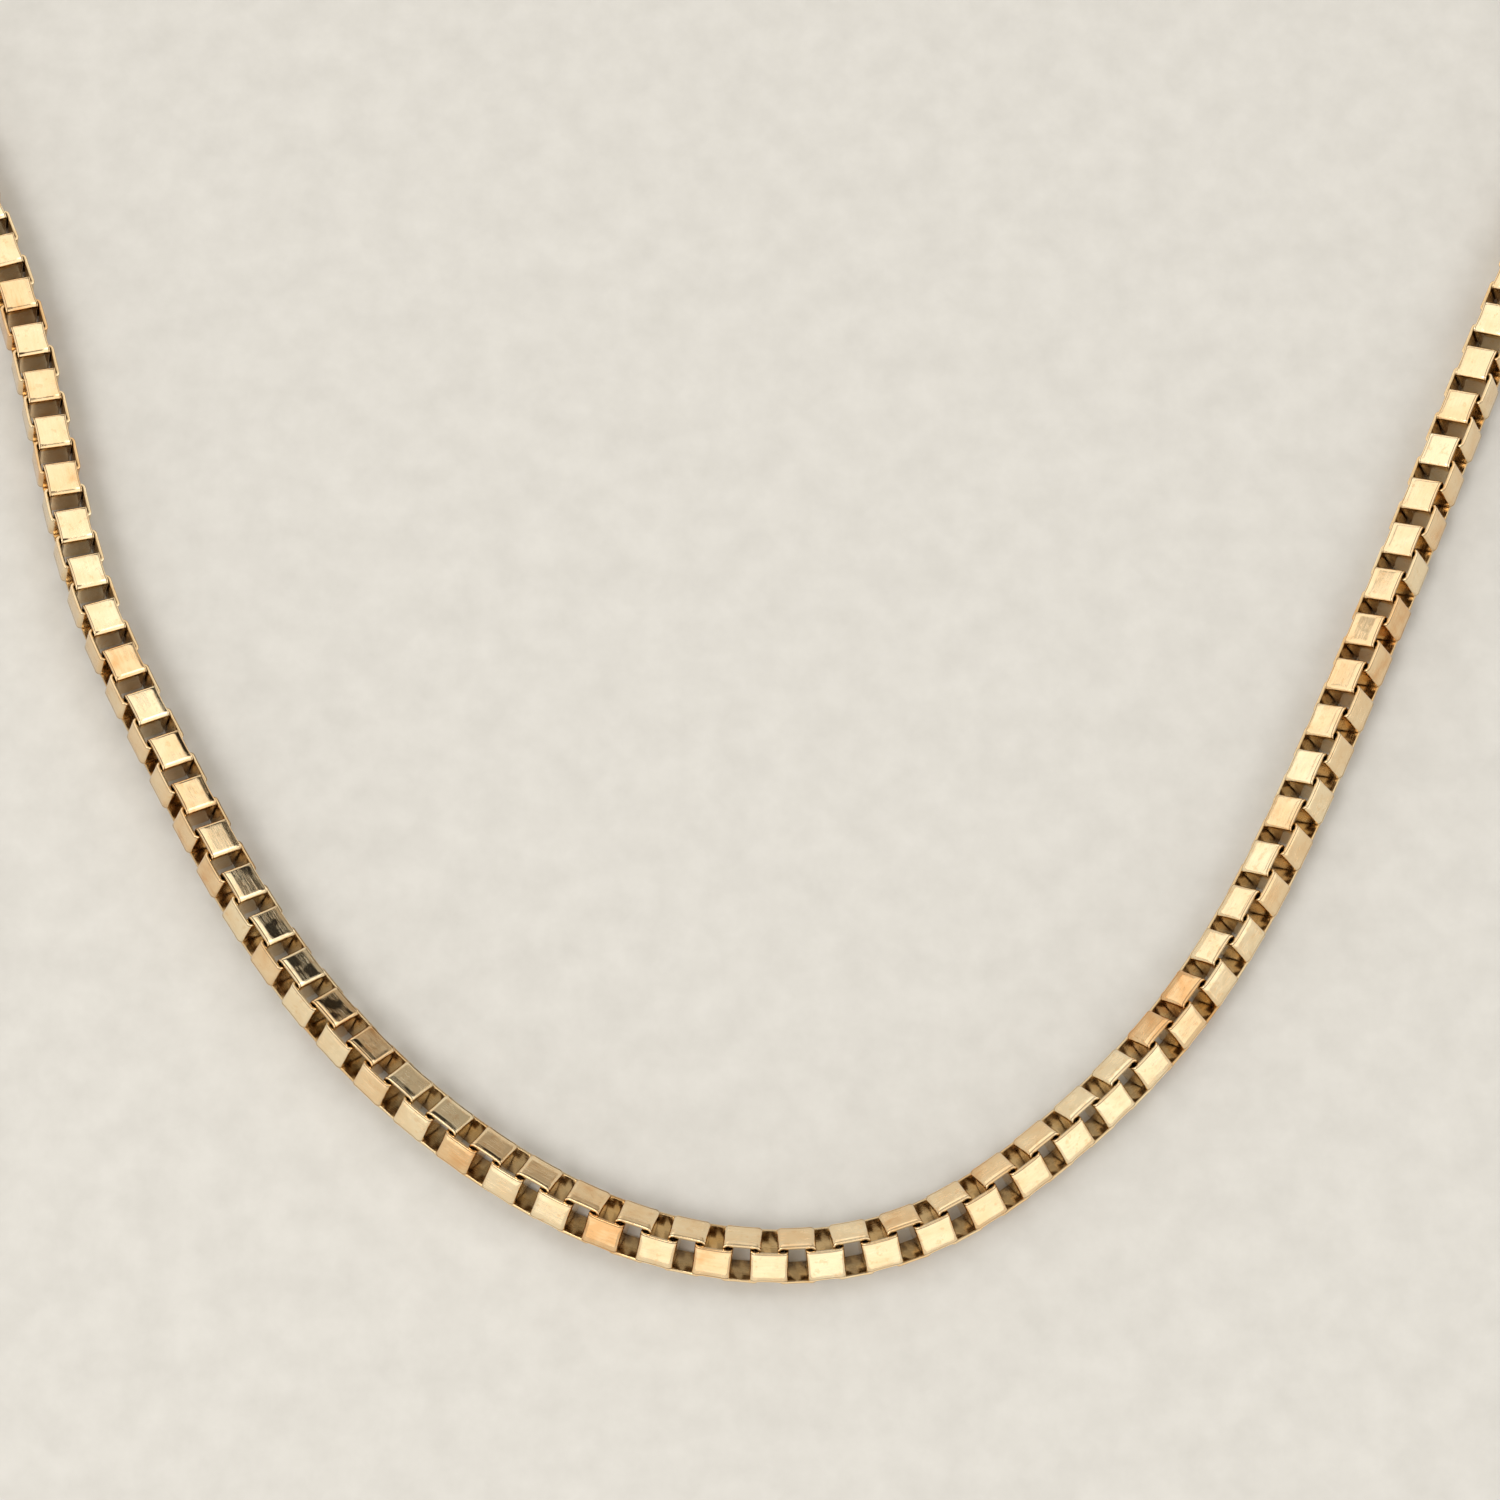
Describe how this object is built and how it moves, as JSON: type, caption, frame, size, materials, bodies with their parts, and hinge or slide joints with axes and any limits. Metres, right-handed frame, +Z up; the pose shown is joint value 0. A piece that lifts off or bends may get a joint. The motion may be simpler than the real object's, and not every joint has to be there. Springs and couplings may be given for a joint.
{
  "type": "box chain necklace",
  "caption": "Box-link chain necklace lying open in a U, with a lobster clasp on one end and a ring on the other.",
  "frame": {"origin": "on the table, under the middle of the whole necklace's bounding box", "axes": "+Z up from the table, +Y from the front of the U towards the two open ends, +X to the right"},
  "size_m": [0.153, 0.1916, 0.0038],
  "materials": {
    "chain": "polished rose gold with fine scratches",
    "rings": "polished rose gold",
    "clasp": "polished rose gold",
    "spring_steel": "drawn wire"
  },
  "bodies": {
    "front": {"links_front": "chain"},
    "left_01": {"links_left_01": "chain"},
    "left_02": {"links_left_02": "chain"},
    "left_03": {"links_left_03": "chain"},
    "left_04": {"links_left_04": "chain"},
    "left_05": {"links_left_05": "chain"},
    "left_06": {"links_left_06": "chain"},
    "left_07": {"links_left_07": "chain"},
    "left_08": {"links_left_08": "chain"},
    "left_09": {"links_left_09": "chain"},
    "left_10": {"links_left_10": "chain"},
    "left_11": {"links_left_11": "chain"},
    "left_12": {"links_left_12": "chain"},
    "left_13": {"links_left_13": "chain"},
    "left_14": {"links_left_14": "chain"},
    "left_15": {"links_left_15": "chain"},
    "left_16": {"links_left_16": "chain"},
    "left_17": {"links_left_17": "chain"},
    "left_18": {"links_left_18": "chain"},
    "left_19": {"links_left_19": "chain"},
    "left_20": {"links_left_20": "chain"},
    "left_21": {"links_left_21": "chain"},
    "left_22": {"links_left_22": "chain"},
    "left_23": {"links_left_23": "chain"},
    "right_01": {"links_right_01": "chain"},
    "right_02": {"links_right_02": "chain"},
    "right_03": {"links_right_03": "chain"},
    "right_04": {"links_right_04": "chain"},
    "right_05": {"links_right_05": "chain"},
    "right_06": {"links_right_06": "chain"},
    "right_07": {"links_right_07": "chain"},
    "right_08": {"links_right_08": "chain"},
    "right_09": {"links_right_09": "chain"},
    "right_10": {"links_right_10": "chain"},
    "right_11": {"links_right_11": "chain"},
    "right_12": {"links_right_12": "chain"},
    "right_13": {"links_right_13": "chain"},
    "right_14": {"links_right_14": "chain"},
    "right_15": {"links_right_15": "chain"},
    "right_16": {"links_right_16": "chain"},
    "right_17": {"links_right_17": "chain"},
    "right_18": {"links_right_18": "chain"},
    "right_19": {"links_right_19": "chain"},
    "right_20": {"links_right_20": "chain"},
    "right_21": {"links_right_21": "chain"},
    "right_22": {"links_right_22": "chain"},
    "right_23": {"links_right_23": "chain"},
    "end_ring": {"end_ring": "rings"},
    "clasp_ring": {"clasp_jump_ring": "rings"},
    "clasp": {"clasp_body": "clasp", "lever_rivet": "clasp", "lever_spring": "spring_steel"},
    "lever": {"clasp_lever": "clasp"}
  },
  "joints": [
    {"name": "clasp_ring_swing", "type": "hinge", "parent": "right_23", "child": "clasp_ring", "pos_m": [0.04488, 0.08693, 0.00071], "axis": [0.5019, 0.8649, 0], "range_deg": [-3, 80]},
    {"name": "clasp_swing", "type": "hinge", "parent": "clasp_ring", "child": "clasp", "pos_m": [0.04084, 0.08927, 0.00126], "axis": [0.5019, 0.8649, 0], "range_deg": [-60, 75]},
    {"name": "lever_press", "type": "hinge", "parent": "clasp", "child": "lever", "pos_m": [0.03771, 0.09045, 0.00151], "axis": [0, 0, -1], "range_deg": [0, 24], "stiffness_Nm_per_rad": 0.002},
    {"name": "end_ring_swing", "type": "hinge", "parent": "left_23", "child": "end_ring", "pos_m": [-0.04696, 0.08645, 0.00071], "axis": [0.6108, -0.7918, 0], "range_deg": [0, 85]},
    {"name": "left_01_sway", "type": "hinge", "parent": "front", "child": "left_01", "pos_m": [-0.00379, -0.09343, 0.00191], "axis": [0, 0, 1], "range_deg": [-4.5, 11.5]},
    {"name": "right_01_sway", "type": "hinge", "parent": "front", "child": "right_01", "pos_m": [0.00551, -0.09364, 0.0019], "axis": [0, 0, 1], "range_deg": [-12, 3.5]},
    {"name": "left_02_lift", "type": "hinge", "parent": "left_01", "child": "left_02", "pos_m": [-0.01264, -0.09049, 0.00191], "axis": [-0.4332, -0.9013, 0], "range_deg": [-5.5, 5.5]},
    {"name": "right_02_lift", "type": "hinge", "parent": "right_01", "child": "right_02", "pos_m": [0.01426, -0.09051, 0.00191], "axis": [-0.5065, 0.8623, 0], "range_deg": [-4.5, 4.5]},
    {"name": "left_03_sway", "type": "hinge", "parent": "left_02", "child": "left_03", "pos_m": [-0.0206, -0.08561, 0.00191], "axis": [0, 0, -1], "range_deg": [-10, 6]},
    {"name": "right_03_sway", "type": "hinge", "parent": "right_02", "child": "right_03", "pos_m": [0.02175, -0.08492, 0.00191], "axis": [0, 0, -1], "range_deg": [-6.5, 9.5]},
    {"name": "left_04_lift", "type": "hinge", "parent": "left_03", "child": "left_04", "pos_m": [-0.02759, -0.07941, 0.00191], "axis": [0.7219, 0.692, 0], "range_deg": [-6.5, 6.5]},
    {"name": "right_04_lift", "type": "hinge", "parent": "right_03", "child": "right_04", "pos_m": [0.02829, -0.07826, 0.00191], "axis": [0.7677, -0.6408, 0], "range_deg": [-6, 6]},
    {"name": "left_05_sway", "type": "hinge", "parent": "left_04", "child": "left_05", "pos_m": [-0.03351, -0.07219, 0.00189], "axis": [0, 0, 1], "range_deg": [-6.5, 10]},
    {"name": "right_05_sway", "type": "hinge", "parent": "right_04", "child": "right_05", "pos_m": [0.03365, -0.07061, 0.00191], "axis": [0, 0, 1], "range_deg": [-9.5, 6.5]},
    {"name": "left_06_lift", "type": "hinge", "parent": "left_05", "child": "left_06", "pos_m": [-0.03841, -0.06423, 0.00186], "axis": [-0.8723, -0.489, 0], "range_deg": [-8, 8]},
    {"name": "right_06_lift", "type": "hinge", "parent": "right_05", "child": "right_06", "pos_m": [0.03801, -0.06234, 0.00192], "axis": [-0.9012, 0.4333, 0], "range_deg": [-7.5, 7.5]},
    {"name": "left_07_sway", "type": "hinge", "parent": "left_06", "child": "left_07", "pos_m": [-0.04288, -0.05602, 0.00182], "axis": [0, 0, -1], "range_deg": [-9, 8.5]},
    {"name": "right_07_sway", "type": "hinge", "parent": "right_06", "child": "right_07", "pos_m": [0.04192, -0.05385, 0.00191], "axis": [0, 0, -1], "range_deg": [-8, 8]},
    {"name": "left_08_lift", "type": "hinge", "parent": "left_07", "child": "left_08", "pos_m": [-0.04698, -0.04762, 0.00178], "axis": [0.925, 0.38, 0], "range_deg": [-7, 7]},
    {"name": "right_08_lift", "type": "hinge", "parent": "right_07", "child": "right_08", "pos_m": [0.04567, -0.04528, 0.0019], "axis": [0.9183, -0.3958, 0], "range_deg": [-8, 8]},
    {"name": "left_09_sway", "type": "hinge", "parent": "left_08", "child": "left_09", "pos_m": [-0.04986, -0.03873, 0.00174], "axis": [0, 0, 1], "range_deg": [-8.5, 10]},
    {"name": "right_09_sway", "type": "hinge", "parent": "right_08", "child": "right_09", "pos_m": [0.04935, -0.03669, 0.00188], "axis": [0, 0, 1], "range_deg": [-8.5, 8.5]},
    {"name": "left_10_lift", "type": "hinge", "parent": "left_09", "child": "left_10", "pos_m": [-0.05222, -0.02968, 0.00173], "axis": [-0.9644, -0.2646, 0], "range_deg": [-8.5, 8.5]},
    {"name": "right_10_lift", "type": "hinge", "parent": "right_09", "child": "right_10", "pos_m": [0.05305, -0.0281, 0.00185], "axis": [-0.9163, 0.4005, 0], "range_deg": [-8.5, 8.5]},
    {"name": "left_11_sway", "type": "hinge", "parent": "left_10", "child": "left_11", "pos_m": [-0.05505, -0.02078, 0.00172], "axis": [0, 0, -1], "range_deg": [-7.5, 11]},
    {"name": "right_11_sway", "type": "hinge", "parent": "right_10", "child": "right_11", "pos_m": [0.05687, -0.01956, 0.00182], "axis": [0, 0, -1], "range_deg": [-9, 8.5]},
    {"name": "left_12_lift", "type": "hinge", "parent": "left_11", "child": "left_12", "pos_m": [-0.05887, -0.01224, 0.00169], "axis": [0.8958, 0.4445, 0], "range_deg": [-8.5, 8.5]},
    {"name": "right_12_lift", "type": "hinge", "parent": "right_11", "child": "right_12", "pos_m": [0.06081, -0.01109, 0.00179], "axis": [0.9046, -0.4262, 0], "range_deg": [-9, 9]},
    {"name": "left_13_sway", "type": "hinge", "parent": "left_12", "child": "left_13", "pos_m": [-0.06313, -0.00392, 0.00167], "axis": [0, 0, 1], "range_deg": [-9, 9.5]},
    {"name": "right_13_sway", "type": "hinge", "parent": "right_12", "child": "right_13", "pos_m": [0.06481, -0.00264, 0.00176], "axis": [0, 0, 1], "range_deg": [-9.5, 9]},
    {"name": "left_14_lift", "type": "hinge", "parent": "left_13", "child": "left_14", "pos_m": [-0.06715, 0.00452, 0.00164], "axis": [-0.9164, -0.4004, 0], "range_deg": [-8.5, 8.5]},
    {"name": "right_14_lift", "type": "hinge", "parent": "right_13", "child": "right_14", "pos_m": [0.06866, 0.00589, 0.00172], "axis": [-0.9217, 0.3878, 0], "range_deg": [-8.5, 8.5]},
    {"name": "left_15_sway", "type": "hinge", "parent": "left_14", "child": "left_15", "pos_m": [-0.07055, 0.01323, 0.00161], "axis": [0, 0, -1], "range_deg": [-10.5, 8]},
    {"name": "right_15_sway", "type": "hinge", "parent": "right_14", "child": "right_15", "pos_m": [0.07191, 0.01465, 0.00168], "axis": [0, 0, -1], "range_deg": [-8, 10.5]},
    {"name": "left_16_lift", "type": "hinge", "parent": "left_15", "child": "left_16", "pos_m": [-0.07312, 0.02221, 0.00158], "axis": [0.9747, 0.2235, 0], "range_deg": [-8, 8]},
    {"name": "right_16_lift", "type": "hinge", "parent": "right_15", "child": "right_16", "pos_m": [0.07409, 0.02373, 0.00164], "axis": [0.9866, -0.1633, 0], "range_deg": [-7.5, 7.5]},
    {"name": "left_17_sway", "type": "hinge", "parent": "left_16", "child": "left_17", "pos_m": [-0.07467, 0.03143, 0.00155], "axis": [0, 0, 1], "range_deg": [-7.5, 11]},
    {"name": "right_17_sway", "type": "hinge", "parent": "right_16", "child": "right_17", "pos_m": [0.07495, 0.03304, 0.00159], "axis": [0, 0, 1], "range_deg": [-11, 7.5]},
    {"name": "left_18_lift", "type": "hinge", "parent": "left_17", "child": "left_18", "pos_m": [-0.07495, 0.04076, 0.00152], "axis": [-0.9988, 0.0492, 0], "range_deg": [-7.5, 7.5]},
    {"name": "right_18_lift", "type": "hinge", "parent": "right_17", "child": "right_18", "pos_m": [0.07442, 0.04236, 0.00153], "axis": [-0.9911, -0.1333, 0], "range_deg": [-7.5, 7.5]},
    {"name": "left_19_sway", "type": "hinge", "parent": "left_18", "child": "left_19", "pos_m": [-0.07363, 0.05001, 0.00151], "axis": [0, 0, -1], "range_deg": [-11.5, 7]},
    {"name": "right_19_sway", "type": "hinge", "parent": "right_18", "child": "right_19", "pos_m": [0.07244, 0.05149, 0.00151], "axis": [0, 0, -1], "range_deg": [-7.5, 11]},
    {"name": "left_20_lift", "type": "hinge", "parent": "left_19", "child": "left_20", "pos_m": [-0.07045, 0.05878, 0.00151], "axis": [0.9028, -0.4301, 0], "range_deg": [-7, 7]},
    {"name": "right_20_lift", "type": "hinge", "parent": "right_19", "child": "right_20", "pos_m": [0.06909, 0.06021, 0.00151], "axis": [0.904, 0.4275, 0], "range_deg": [-7.5, 7.5]},
    {"name": "left_21_sway", "type": "hinge", "parent": "left_20", "child": "left_21", "pos_m": [-0.06575, 0.06686, 0.00151], "axis": [0, 0, 1], "range_deg": [-7.5, 11]},
    {"name": "right_21_sway", "type": "hinge", "parent": "right_20", "child": "right_21", "pos_m": [0.06449, 0.06834, 0.00151], "axis": [0, 0, 1], "range_deg": [-11, 7.5]},
    {"name": "left_22_lift", "type": "hinge", "parent": "left_21", "child": "left_22", "pos_m": [-0.06, 0.07422, 0.00151], "axis": [-0.7523, 0.6588, 0], "range_deg": [-8, 8]},
    {"name": "right_22_lift", "type": "hinge", "parent": "right_21", "child": "right_22", "pos_m": [0.05874, 0.07571, 0.00151], "axis": [-0.7399, -0.6727, 0], "range_deg": [-7.5, 7.5]},
    {"name": "left_23_sway", "type": "hinge", "parent": "left_22", "child": "left_23", "pos_m": [-0.05349, 0.08093, 0.00151], "axis": [0, 0, -1], "range_deg": [-10.5, 8]},
    {"name": "right_23_sway", "type": "hinge", "parent": "right_22", "child": "right_23", "pos_m": [0.05194, 0.08211, 0.00151], "axis": [0, 0, -1], "range_deg": [-7.5, 11]}
  ]
}
